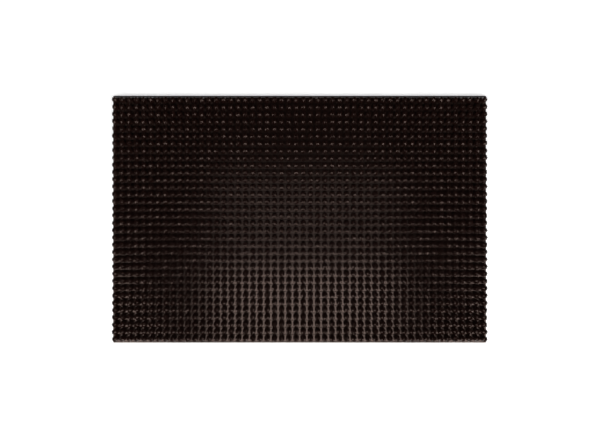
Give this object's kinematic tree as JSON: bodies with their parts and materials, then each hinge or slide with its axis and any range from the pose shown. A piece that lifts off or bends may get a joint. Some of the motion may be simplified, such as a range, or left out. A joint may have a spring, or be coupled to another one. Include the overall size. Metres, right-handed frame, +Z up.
{
  "type": "door mat",
  "caption": "Rectangular moulded plastic scraper door mat: a flexible sheet on drainage feet with a square grid of stiff hollow bristle crowns, dark brown.",
  "frame": {"origin": "centre of the mat on the floor, under the middle foot of the base sheet", "axes": "+X along the width (the long side), +Y from the front edge to the back edge, +Z up out of the bristles"},
  "size_m": [0.598, 0.396, 0.017],
  "materials": {
    "base_sheet": "semi-gloss moulded polyethylene, dark chocolate",
    "bristles": "semi-gloss moulded polyethylene, glossy at the tips, dark chocolate",
    "selvage": "semi-gloss moulded polyethylene, dark chocolate"
  },
  "bodies": {
    "root": {"base_sheet": "base_sheet", "bristle_row_01": "bristles", "bristle_row_02": "bristles", "bristle_row_03": "bristles", "bristle_row_04": "bristles", "bristle_row_05": "bristles", "bristle_row_06": "bristles", "bristle_row_07": "bristles", "bristle_row_08": "bristles", "bristle_row_09": "bristles", "bristle_row_10": "bristles", "bristle_row_11": "bristles", "bristle_row_12": "bristles", "bristle_row_13": "bristles", "bristle_row_14": "bristles", "bristle_row_15": "bristles", "bristle_row_16": "bristles", "bristle_row_17": "bristles", "bristle_row_18": "bristles", "bristle_row_19": "bristles", "bristle_row_20": "bristles", "bristle_row_21": "bristles", "bristle_row_22": "bristles", "bristle_row_23": "bristles", "bristle_row_24": "bristles", "bristle_row_25": "bristles", "bristle_row_26": "bristles", "bristle_row_27": "bristles", "bristle_row_28": "bristles", "bristle_row_29": "bristles", "bristle_row_30": "bristles", "bristle_row_31": "bristles", "bristle_row_32": "bristles", "bristle_row_33": "bristles", "bristle_row_34": "bristles", "front_selvage": "selvage", "back_selvage": "selvage"}
  },
  "joints": []
}
